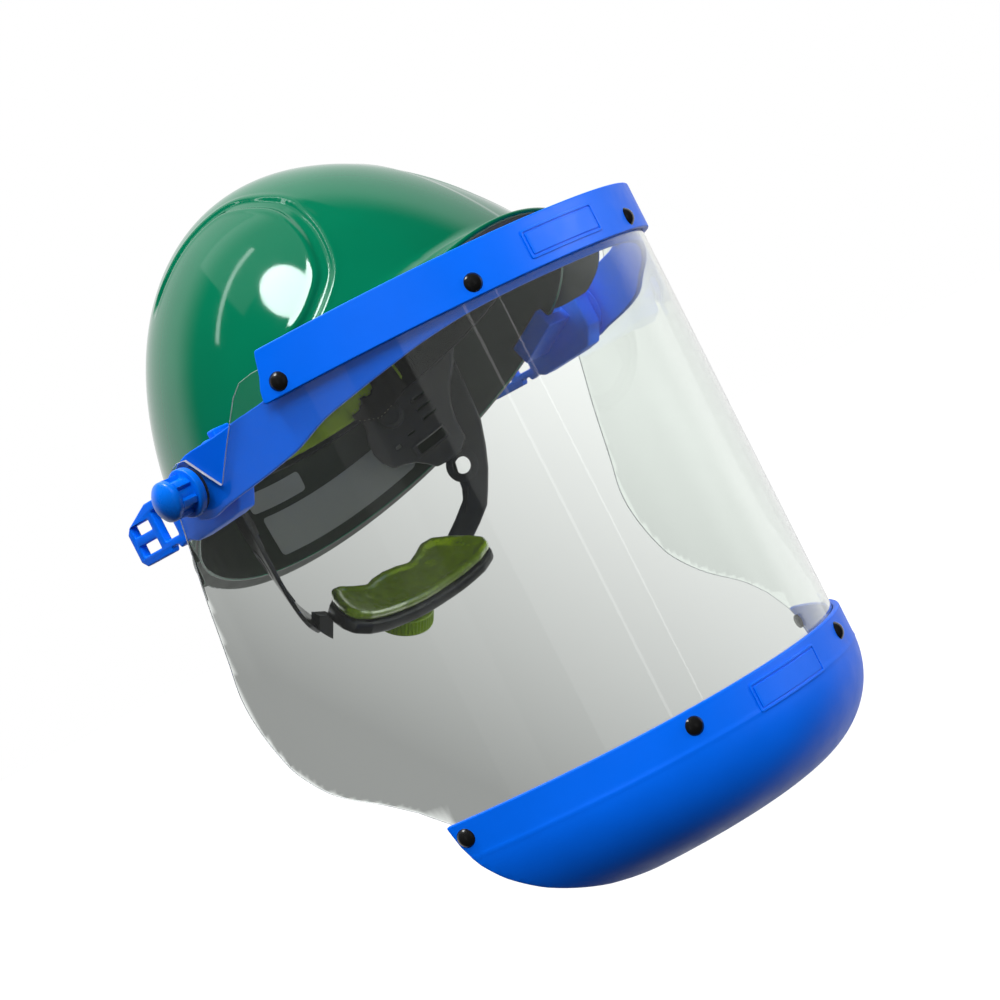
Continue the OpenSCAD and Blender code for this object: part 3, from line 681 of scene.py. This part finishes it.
def shell():
    columns = 720
    f = np.linspace(-math.pi, math.pi, columns, endpoint=False)
    deg = np.abs(np.degrees(f))
    reach = np.where(deg < 76, np.cos(np.radians(np.minimum(deg, 76) * 90 / 76)), 0).clip(0)
    out = PEAK * reach ** 0.55
    droop = (4 + 12 * np.sin(np.radians(np.minimum(deg * 1.6, 180 - deg * 1.6))) ** 2
             * reach ** 0.4) * np.minimum(1, out / 8)
    rear = smooth((deg - 95) / 45)
    ex = 103.0 + 0.55 * out
    ey = 110.3 + out + 5.0 * rear
    edge = np.stack([ex * np.sin(f), -ey * np.cos(f), 2.7 - droop], -1)
    low = math.asin((11 + RISE) / SHELL[2])
    rows_out = 260
    rings = []
    for v in np.linspace(POLE, low, rows_out):
        p = dome_point(f, v)
        n = p + [0, 0, RISE]
        n = n / SHELL ** 2
        n /= np.linalg.norm(n, axis=1)[:, None]
        rings.append(p + n * relief(p)[:, None])
    start = rings[-1]
    corner = dome_point(f, math.asin((3.2 + RISE) / SHELL[2]))
    outward = edge - corner
    outward[:, 2] = 0
    outward /= np.linalg.norm(outward, axis=1)[:, None]
    tip = edge - outward * LIP
    corner[:, 2] -= 0.15 * droop
    for t in np.linspace(0, 1, 11)[1:]:
        rings.append(start * (1 - t) ** 2 + corner * 2 * t * (1 - t) + tip * t * t)
    for k in range(1, 8):
        a = math.pi * k / 8
        rings.append(tip + outward * LIP * math.sin(a) + [0, 0, -LIP + LIP * math.cos(a)])
    n_outer = len(rings)
    foot = tip + [0, 0, -2 * LIP]
    skirt = math.asin((SKIRT + RISE) / (SHELL[2] - WALL))
    inner = dome_point(f, skirt, -WALL)
    bead = inner + outward * 1.6
    bead[:, 2] = 0.4
    for t in np.linspace(0, 1, 7):
        rings.append(foot * (1 - t) + bead * t)
    n_under = len(rings)
    drop = 0.5 + 0.9 * smooth(out / 6)
    for k in range(1, 6):
        a = math.pi * k / 6
        p = bead * (1 + math.cos(a)) / 2 + inner * (1 - math.cos(a)) / 2
        p[:, 2] -= drop * math.sin(a)
        rings.append(p)
    n_bead = len(rings)
    for v in np.linspace(skirt, POLE, 44):
        rings.append(dome_point(f, v, -WALL))
    points = np.concatenate(rings)
    count = len(rings)
    index = np.arange(columns)
    nxt = (index + 1) % columns
    faces, kinds = [], []
    for j in range(count - 1):
        a, b = j * columns, (j + 1) * columns
        faces += np.stack([a + index, a + nxt, b + nxt, b + index], 1).tolist()
        kinds += [1 if (n_outer <= j < n_under - 1) or j >= n_bead - 1 else 0] * columns
    faces += [list(reversed(range(columns))), list(range((count - 1) * columns, count * columns))]
    kinds += [0, 1]
    mesh = bpy.data.meshes.new("helmet_shell")
    mesh.from_pydata((points * 0.001).tolist(), [], faces)
    mesh.materials.append(GREEN)
    mesh.materials.append(LINER)
    mesh.polygons.foreach_set("material_index", kinds)
    mesh.transform(Matrix.Scale(0.001, 4) @ HELMET @ Matrix.Scale(1000, 4))
    obj = bpy.data.objects.new("helmet_shell", mesh)
    bpy.context.scene.collection.objects.link(obj)
    bm = bmesh.new()
    bm.from_mesh(mesh)
    bmesh.ops.recalc_face_normals(bm, faces=bm.faces)
    bm.to_mesh(mesh)
    bm.free()
    slots = []
    for sign in (1, -1):
        for x, y in ((-35.4, -38.2), (-44.7, -23), (-54, -8)):
            cutter = slab([box_outline(-1.7, 1.7, -6.5, 6.5, 1.0)], 90, 0.2)
            spot = Matrix.Translation((x, y, 95)) @ Matrix.Rotation(rad(29.5), 4, "Z")
            slots.append(moved(cutter, (MIRROR if sign < 0 else Matrix.Identity(4)) @ spot))
    knife_bm = joined(slots)
    moved(knife_bm, HELMET)
    bmesh.ops.scale(knife_bm, vec=(0.001, 0.001, 0.001), verts=knife_bm.verts)
    knife_mesh = bpy.data.meshes.new("vents")
    knife_bm.to_mesh(knife_mesh)
    knife_bm.free()
    knife = bpy.data.objects.new("vents", knife_mesh)
    bpy.context.scene.collection.objects.link(knife)
    cut = obj.modifiers.new("vents", "BOOLEAN")
    cut.object, cut.operation, cut.solver = knife, "DIFFERENCE", "EXACT"
    applied(obj)
    bpy.data.objects.remove(knife)
    bpy.data.meshes.remove(knife_mesh)
    obj.data.shade_smooth()
    obj.data.set_sharp_from_angle(angle=rad(40))
    settle(obj, "helmet", ["helmet_shell"])


shell()

# ---- Suspension --------------------------------------------------------------------------------


def on_band(o):
    """Bends a slab drawn as (along the headband, height) round the headband, its middle at o."""
    def to(s, z, t):
        x, y = band(s, o + t)
        return x, y, z
    return to


def band_outline(points, o):
    """An outline of (depth, height) points on the left side, as (along the headband, height)."""
    return [(band_s(y, o), z) for y, z in points]


def band_hole(y, z, r, o):
    """A round hole on the left side, drawn so that it is round at offset o."""
    s, shrink = band_s(y, o), 1 / (1 + o / 81)
    return [(s + (x - s) * shrink, h) for x, h in circle(s, z, r, 40)]


def mark_flat(bm, place):
    """Stores where each vertex lies on its flat cloth, in millimetres, for the weave."""
    layer = bm.verts.layers.float_vector.new("flat")
    for v in bm.verts:
        v[layer] = place(v.co)
    return bm


def on_cloth(co):
    """Distance along the headband and height, of a point in the headband's frame."""
    t = math.atan2((co.y - BAND_CY) / BAND_B, co.x / BAND_A)
    t = t if t >= -math.pi / 2 else t + 2 * math.pi
    return Vector((float(np.interp(t, _theta, _reach)), co.z, 0))


tape = [box_outline(0, BAND_LENGTH, 20, 40, 0.6)]
for side in (-1, 1):
    for k in range(7):
        s = BAND_LENGTH / 2 + side * (26 + 7 * k)
        tape.append(box_outline(s - 1.2, s + 1.2, 25, 35, 1.0))
build("headband", warp(slab(tape, 1.8, 0.4, x_cut=4), on_band(-0.9)), DARK, "helmet",
      ["headband"], at=BAND)


def remeshed(bm, size):
    """The same solid as an even mesh of about size millimetres."""
    mesh = bpy.data.meshes.new("cushion")
    bm.to_mesh(mesh)
    bm.free()
    obj = bpy.data.objects.new("cushion", mesh)
    bpy.context.scene.collection.objects.link(obj)
    again = obj.modifiers.new("again", "REMESH")
    again.mode, again.voxel_size = "VOXEL", size
    applied(obj)
    return obj


def cushion(name, loops, o, t, edge, mat, nodes=(), cap=1.1):
    """A pad sewn to the inside of the headband: blown up as cloth, then trimmed to its space."""
    obj = remeshed(warp(slab(loops, t, edge, x_cut=3, y_cut=3), on_band(o)), 1.5)
    obj.data.transform(Matrix.Scale(0.001, 4))
    rest = np.zeros(len(obj.data.vertices) * 3)
    obj.data.vertices.foreach_get("co", rest)
    cloth = obj.modifiers.new("cloth", "CLOTH")
    cloth.settings.quality = 5
    cloth.settings.mass = 0.2
    cloth.settings.tension_stiffness = cloth.settings.compression_stiffness = 12
    cloth.settings.bending_stiffness = 0.4
    cloth.settings.use_pressure = True
    cloth.settings.uniform_pressure_force = 4
    cloth.settings.effector_weights.gravity = 0
    cloth.point_cache.frame_start, cloth.point_cache.frame_end = 1, 20
    for frame_now in range(1, 21):
        bpy.context.scene.frame_set(frame_now)
    applied(obj)
    bpy.context.scene.frame_set(1)
    now = np.zeros(len(rest))
    obj.data.vertices.foreach_get("co", now)
    move = (now - rest).reshape(-1, 3)
    far = np.linalg.norm(move, axis=1)[:, None] + 1e-12
    move *= np.minimum(1, cap * 0.001 / far)
    obj.data.vertices.foreach_set("co", (rest.reshape(-1, 3) + move).ravel())
    smooth_out = obj.modifiers.new("finer", "SUBSURF")
    smooth_out.levels = smooth_out.render_levels = 1
    applied(obj)
    bm = bmesh.new()
    bm.from_mesh(obj.data)
    old = obj.data
    bpy.data.objects.remove(obj)
    bpy.data.meshes.remove(old)
    bmesh.ops.scale(bm, vec=(1000, 1000, 1000), verts=bm.verts)
    pad = build(name, mark_flat(bm, on_cloth), mat, "helmet", nodes, at=BAND, sharp=0)


def stitches(name, line, o, length, space, r=0.16):
    """A row of sewn stitches along a line of (along the headband, height) points."""
    points = [Vector(p) for p in line]
    parts, left, gap = [], space, 0.0
    for a, b in zip(points, points[1:]):
        d = (b - a).length
        while left < d:
            p, q = a.lerp(b, left / d), a.lerp(b, min(1, (left + length) / d))
            rows = []
            for k in range(7):
                c = p.lerp(q, k / 6)
                lift = 0.22 * math.sin(math.pi * k / 6)
                across = Vector((-(b - a).y, (b - a).x)).normalized()
                rows.append([(c.x + across.x * r * math.cos(u), c.y + across.y * r * math.cos(u),
                              -lift - r * math.sin(u)) for u in
                             (2 * math.pi * i / 6 for i in range(6))])
            parts.append(grid_mesh(rows))
            left += length + space
        left -= d
    bm = warp(joined(parts), on_band(o))
    build(name, mark_flat(bm, on_cloth), THREAD, "helmet", at=BAND, sharp=0)


brow_s = band_s(-45.5)
cushion("brow_pad", [box_outline(-brow_s, brow_s, 17.3, 41.7, 3)], -4.4, 4.0, 1.4, DARK_CLOTH,
        ["brow_pad"], cap=0.9)
stitches("brow_stitch_low", [(-brow_s + 3, 20), (brow_s - 3, 20)], -7.2, 1.6, 1.2)
stitches("brow_stitch_high", [(-brow_s + 3, 39), (brow_s - 3, 39)], -7.2, 1.6, 1.2)

rear_s0 = band_s(43)
rear_s1 = BAND_LENGTH - rear_s0
cushion("rear_pad", [fillet([(rear_s0, 24), (rear_s0 + 24, 21.5), (rear_s1 - 24, 21.5),
                             (rear_s1, 24), (rear_s1, 41), (rear_s0, 41)], 3)], -3.9, 2.8, 1.2,
        LIME_CLOTH, ["rear_pad"], cap=0.5)


def patch_outline(s):
    """The dark patch sewn over a forward end of the rear pad, with a zigzag edge to the rear."""
    return [(s(44), 19), (s(52), 16), (s(60), 14), (s(66.5), 18.5), (s(68.6), 21.5),
            (s(66.8), 25.5), (s(64.6), 24.4), (s(62), 30), (s(57.5), 28), (s(56.2), 34),
            (s(52.5), 41), (s(44), 40)]


for side, s in (("left", lambda y: band_s(y)), ("right", lambda y: BAND_LENGTH - band_s(y))):
    loop = patch_outline(s)
    cushion("rear_patch_" + side, [fillet(loop, 0.8)], -6.2, 1.1, 0.4, DARK_CLOTH, cap=0.15)
    inside = [Vector(p) for p in loop]
    centre = sum(inside, Vector((0, 0))) / len(inside)
    line = [tuple(centre + (p - centre) * 0.9) for p in inside[1:-1]]
    stitches("rear_patch_stitch_" + side, line, -7.0, 0.8, 1.5, 0.2)

plate_points = [(16, 22), (20, 38), (66, 38), (66.6, 16), (68.4, 10.4), (69, 4.3), (68.4, -1.5),
                (66.6, -6.5), (62.8, -8.2), (59.6, -10.5), (57, -14), (54.6, -18), (50, -19),
                (43, -19), (38.5, -15), (37.6, -6), (35, 2), (31, 8), (24, 14)]
arm_points = [(21, 27), (23, 18), (26.5, 3), (30, -13), (35, -23.5), (40, -32.5), (45.8, -40.9),
              (49.6, -46.2), (55.8, -50.9), (62.2, -55.5), (69, -58.5), (73, -52),
              (67.4, -47.1), (62.2, -42.8), (55.9, -37.4), (53.8, -33), (49, -14), (47.4, -10.3),
              (39.9, 6.6), (34, 18), (30, 27)]
# Place and radius of the chin strap hole in an arm
HOLE_Y, HOLE_Z, HOLE_R = 48.1, -24.3, 4.6
# Offsets from the headband of the middle of a side plate and of an arm
PLATE_O, ARM_O = 1.3, 3.7
for side, turn in (("left", Matrix.Identity(4)), ("right", MIRROR)):
    loops = [fillet(band_outline(plate_points, PLATE_O), 2.5)]
    slots = [(41.5, 48.5, 3.3 + 5 * k, 4.6 + 5 * k) for k in range(3)]
    slots += [(43, 56.5, -9, -4.2), (60.6, 62.6, -0.4, 1.2), (53.5, 56.8, 1.6, 2.8)]
    for y0, y1, z0, z1 in slots:
        loops.append(box_outline(band_s(y0, PLATE_O), band_s(y1, PLATE_O), z0, z1, 0.5))
    plate = warp(slab(loops, 2.0, 0.5, x_cut=3), on_band(PLATE_O))
    rim = warp(slab([box_outline(band_s(42, 0), band_s(57.5, 0), -10, -3.2, 1.0),
                     box_outline(band_s(43, 0), band_s(56.5, 0), -9, -4.2, 0.5)], 1.2, 0.35,
                    x_cut=3), on_band(0.1))
    boss = warp(slab([band_hole(56.5, 14.8, 6.6, 0)], 2.4, 0.8, x_cut=2), on_band(-0.4))
    dish = warp(slab([band_hole(56.5, 14.8, 5.0, 0), band_hole(56.5, 14.8, 4.2, 0)], 0.8, 0.25,
                     x_cut=2), on_band(-1.7))
    build("side_plate_" + side, joined([plate, rim, boss, dish]), PLATE, "helmet",
          ["side_plate_" + side], at=turn @ BAND)

    hole = band_hole(HOLE_Y, HOLE_Z, HOLE_R, ARM_O)
    arm = warp(slab([fillet(band_outline(arm_points, ARM_O), 2.5), hole], 2.0, 0.5, x_cut=3),
               on_band(ARM_O))
    collar = warp(slab([band_hole(HOLE_Y, HOLE_Z, 8.2, ARM_O), hole], 2.6, 0.6, x_cut=3),
                  on_band(ARM_O))
    rib = warp(slab([fillet(band_outline([(50, -34), (51.5, -34), (57.4, -43), (57, -43.6)],
                                         2.6), 0.4)], 0.8, 0.3, x_cut=3), on_band(2.5))
    build("nape_arm_" + side, joined([arm, collar, rib]), DARK, "nape", ["nape_arm_" + side],
          at=turn @ BAND)


def on_dome(o):
    """Lays a slab drawn as (across, height) against the back of the shell's inside, o within its
    outer face."""
    def to(x, z, t):
        a, b, c = SHELL + o + t
        return x, b * math.sqrt(1 - (x / a) ** 2 - ((z + RISE) / c) ** 2), z
    return to


for name, x0, x1, z0, z1 in (("label_large", -10, 66, 5, 24), ("label_small", -14, 20, 27, 36)):
    sticker = slab([box_outline(x0, x1, z0, z1, 2.2)], 0.28, 0.05, x_cut=3, y_cut=3)
    build(name, warp(sticker, on_dome(-3.62)), STICKER, "helmet", [name], at=HELMET)

STRAP_MID = 0.6
for side, turn, r in (("left", 45, 97), ("right", -45, 95)):
    front_a = math.asin(11 / (r - STRAP_MID))
    rear_a = math.asin(34 / (r - STRAP_MID))
    length = (r - STRAP_MID) * (math.pi - front_a - rear_a)
    tape = slab([box_outline(0, length, -10, 10, 0.4)], 1.2, 0.35, x_cut=3, y_cut=5)
    mark_flat(tape, lambda co: Vector((co.x, co.y, 0)))

    def over_head(s, x, t, r=r, front_a=front_a, length=length):
        a = front_a + s / (r - STRAP_MID)
        bow = 0.25 * math.sin(math.pi * s / length) * math.cos(math.pi * x / 20)
        reach = r - STRAP_MID + t - bow
        return x, -reach * math.cos(a), -2 + reach * math.sin(a)

    strap = build("crown_strap_" + side, warp(tape, over_head), WEBBING, "helmet",
                  ["crown_strap_" + side],
                  at=HELMET @ Matrix.Rotation(rad(turn), 4, "Z"))

# ---- Nape adjuster -----------------------------------------------------------------------------

NAPE_R, DIAL_Z = 115.0, -4.0
OUTWARD = Matrix.Rotation(rad(-90), 4, "X")


def on_nape(o):
    """Bends a slab drawn as (across, height) round the nape, its middle at offset o."""
    def to(x, z, t):
        a = math.asin(x / (NAPE_R + o))
        return (NAPE_R + o + t) * math.sin(a), (NAPE_R + o + t) * math.cos(a) - NAPE_R, z
    return to


def both_halves(half):
    return half + [(-x, z) for x, z in reversed(half[1:-1])]


housing_half = [(0, 8), (8, 6.8), (14, 4.4), (21, 6.6), (27, 9.6), (34, 9.4), (40, 5), (44.5, -3),
                (47, -11), (45.5, -17), (37, -19), (25, -18.8), (13, -18.2), (0, -18.2)]
pad_half = [(0, 11), (8, 9.8), (14, 7.2), (21, 9.5), (27, 12), (33, 10.5), (38, 4), (42.5, -4),
            (45, -11), (43.5, -16), (36, -17.5), (25, -17.2), (13, -16.6), (0, -16.8)]


def lug():
    """The block that fills the space between an end of the housing and the arm behind it."""
    to_band = BAND.inverted() @ NAPE
    rows = []
    for x in np.linspace(38.5, 47, 10):
        near = on_nape(0.6)(x, 0, 0)[1]
        ring = [(x, near, 3.4), (x, near, 8.6)]
        for z in (8.6, 3.4):
            y = near
            while True:
                p = to_band @ Vector((x, y, z))
                if math.hypot(p.x / (BAND_A + 2.68), (p.y - BAND_CY) / (BAND_B + 2.68)) >= 1:
                    break
                y += 0.05
            ring.append((x, y, z))
        rows.append(ring)
    return grid_mesh(rows)


housing = warp(slab([fillet(both_halves(housing_half), 4)], 6, 1.4, x_cut=3), on_nape(-2))
hub = moved(lathe([(0.001, -4)] + rounded_profile(11, -3.9, 3.1, 0.8) + [(0.001, 3.1)], 72),
            Matrix.Translation((0, 0, DIAL_Z)) @ OUTWARD)
build("nape_housing", joined([housing, hub, lug(), moved(lug(), MIRROR)]), DARK, "nape",
      ["nape_housing"], at=NAPE)


def gel_pad():
    rim = fillet(both_halves(pad_half), 4)
    bm = slab([rim], 4.2, 1.5, x_cut=1.5, y_cut=1.5)
    edge = np.array(rim)
    step = np.roll(edge, -1, 0) - edge
    size = (step ** 2).sum(1) + 1e-9
    for v in bm.verts:
        if v.co.z > 0:
            continue
        p = np.array(v.co[:2])
        t = np.clip(((p - edge) * step).sum(1) / size, 0, 1)
        inset = np.sqrt((((edge + t[:, None] * step) - p) ** 2).sum(1).min())
        sunk = 1.1 * smooth((inset - 2.4) / 2.2)
        for x in (-19, 19):
            d = math.hypot(v.co.x - x, v.co.y + 2)
            sunk += 0.7 * math.exp(-(d / 2.6) ** 2) - 0.25 * math.exp(-((d - 4.2) / 1.2) ** 2)
        v.co.z += sunk
    return warp(bm, on_nape(-7.4))


pad = build("nape_pad", gel_pad(), GEL, "nape", ["nape_pad"], at=NAPE, sharp=0)

KNURLS = 48


def knurled(r, z, a):
    """Fine ribs round the dial, fading out at its two rims."""
    if r < 11:
        return r
    fade = smooth((z - 0.6) / 0.8) * smooth((6.9 - z) / 0.8)
    return r - 0.28 + 0.28 * math.cos(KNURLS * a) * fade


dial = [(0.001, 0), (12.2, 0), (12.9, 0.25), (13.2, 0.7), (13.2, 1.4), (13.2, 2.6), (13.2, 4),
        (13.2, 5.4), (13.2, 6.2), (13.2, 6.9), (13.0, 7.4), (12.4, 7.75), (11.4, 7.8), (10.8, 7.6),
        (10.3, 7.2), (6, 7.1), (0.001, 7.3)]
build("ratchet_knob", moved(lathe(dial, 8 * KNURLS, knurled),
                            Matrix.Translation((0, 3.4, DIAL_Z)) @ OUTWARD),
      LIME, "ratchet", ["ratchet_knob"], at=NAPE)

# ---- Small parts kept from the CAD -------------------------------------------------------------

for name, mat in (("suspension_clips", GREY), ("ratchet_pinion", GREY), ("pivot_stud_left", METAL),
                  ("pivot_stud_right", METAL), ("friction_washer_left", DARK),
                  ("friction_washer_right", DARK), ("knob_insert_left", BRASS),
                  ("knob_insert_right", BRASS)):
    obj = bpy.data.objects[name]
    obj.data.materials.clear()
    obj.data.materials.append(mat)

# ---- Studio ------------------------------------------------------------------------------------

world = bpy.data.worlds.new("studio")
bpy.context.scene.world = world
world.use_nodes = True
sky = world.node_tree
sky.nodes.clear()

toward = node(sky, "ShaderNodeTexCoord").outputs["Generated"]
dot = node(sky, "ShaderNodeVectorMath", {0: toward, 1: (0.671, 0.741, 0.05)},
           operation="DOT_PRODUCT").outputs["Value"]
glow = node(sky, "ShaderNodeMapRange", {"Value": dot, "From Min": 0.3, "From Max": 0.55,
                                        "To Min": 0.05, "To Max": 0.9},
            interpolation_type="SMOOTHSTEP").outputs[0]

# Painted shade seen through the visor: a grey world, darker towards the lower left of the view
path = node(sky, "ShaderNodeLightPath")
parts = []
for axis in ((0.741, -0.671, 0), (0.671, 0.741, 0), (0, 0, 1)):
    parts.append(node(sky, "ShaderNodeVectorMath", {0: toward, 1: axis},
                      operation="DOT_PRODUCT").outputs["Value"])
slope = maths(sky, "DIVIDE", parts[0], maths(sky, "MAXIMUM", parts[1], 0.05))
visor_painted_shade = maths(sky, "ADD", maths(sky, "MULTIPLY", slope, 3.2), maths(sky, "MULTIPLY", parts[2], 2.5))
visor_painted_shade = maths(sky, "MINIMUM", maths(sky, "MAXIMUM", maths(sky, "ADD", visor_painted_shade, 0.83), 0.36), 1.1)
behind = node(sky, "ShaderNodeMix", {0: path.outputs["Is Transmission Ray"], 2: glow, 3: visor_painted_shade},
              data_type="FLOAT").outputs[0]
level = node(sky, "ShaderNodeMix", {0: path.outputs["Is Camera Ray"], 2: behind, 3: 1.0},
             data_type="FLOAT").outputs[0]
ground = node(sky, "ShaderNodeBackground", {"Color": (1, 1, 1, 1), "Strength": level})
output = node(sky, "ShaderNodeOutputWorld")
sky.links.new(ground.outputs[0], output.inputs["Surface"])

floor_mat = new_material("floor", Base_Color=(0.1, 0.1, 0.1, 1), Roughness=0.9,
                         Emission_Color=(1, 1, 1, 1), Emission_Strength=1.0)[0]
floor_bm = bmesh.new()
bmesh.ops.create_grid(floor_bm, x_segments=8, y_segments=8, size=6.0)
floor_mesh = bpy.data.meshes.new("floor")
floor_bm.to_mesh(floor_mesh)
floor_bm.free()
floor_mesh.materials.append(floor_mat)
floor = bpy.data.objects.new("floor", floor_mesh)
floor.location.z = -0.2225
floor.visible_diffuse = floor.visible_glossy = floor.visible_transmission = False
bpy.context.scene.collection.objects.link(floor)


def lamp(name, direction, distance, size, power, shape="RECTANGLE", height=None, roll=0.0,
         glossy=True, diffuse=True, only=()):
    """A soft box aimed at the origin. It lights every piece, or those in only."""
    light = bpy.data.lights.new(name, "AREA")
    light.shape, light.size, light.energy = shape, size, power
    if height:
        light.size_y = height
    obj = bpy.data.objects.new(name, light)
    bpy.context.scene.collection.objects.link(obj)
    d = Vector(direction).normalized()
    aim = d.to_track_quat("Z", "Y") @ Matrix.Rotation(rad(roll), 4, "Z").to_quaternion()
    obj.matrix_world = Matrix.Translation(d * distance) @ aim.to_matrix().to_4x4()
    obj.visible_camera = False
    obj.visible_transmission = False
    obj.visible_glossy, obj.visible_diffuse = glossy, diffuse
    if only:
        receivers = bpy.data.collections.new(name + "_receivers")
        for piece in only:
            receivers.objects.link(piece)
        obj.light_linking.receiver_collection = receivers


lamp("key", (-0.35, 0.05, 0.93), 1.5, 0.46, 12, "DISK")
lamp("window", (-0.1, 0.3, 0.93), 1.7, 0.95, 1.4, "RECTANGLE", 0.95, 20)
lamp("window_edge", (-0.3, 0.42, 0.86), 1.69, 0.05, 0.7, "RECTANGLE", 0.9, 20)
lamp("overhead", (-0.05, 0.2, 0.97), 1.8, 1.2, 14, "DISK", glossy=False)
lamp("front_fill", (-0.5, -0.62, 0.75), 2.2, 1.6, 40, "RECTANGLE", 1.2, glossy=False)
guards = [piece for piece in bpy.data.objects if piece.type == "MESH"
          and BLUE in list(piece.data.materials) and not piece.name.startswith("carrier")]
lamp("guard_fill", (-0.6, -0.7, 0.4), 2.2, 1.4, 20, "RECTANGLE", 1.2, glossy=False, only=guards)
lamp("guard_side", (0.68, -0.73, 0.02), 2.2, 1.2, 28, "RECTANGLE", 0.8, only=guards)
lamp("veil", (-0.93, -0.37, -0.03), 2.0, 0.5, 0.45, "RECTANGLE", 1.3, diffuse=False)
lamp("strip_1", (-0.21, -0.97, -0.05), 2.0, 0.04, 0.3, "RECTANGLE", 1.5, diffuse=False)
lamp("strip_2", (0.05, -0.99, -0.06), 2.0, 0.025, 0.25, "RECTANGLE", 1.5, diffuse=False)
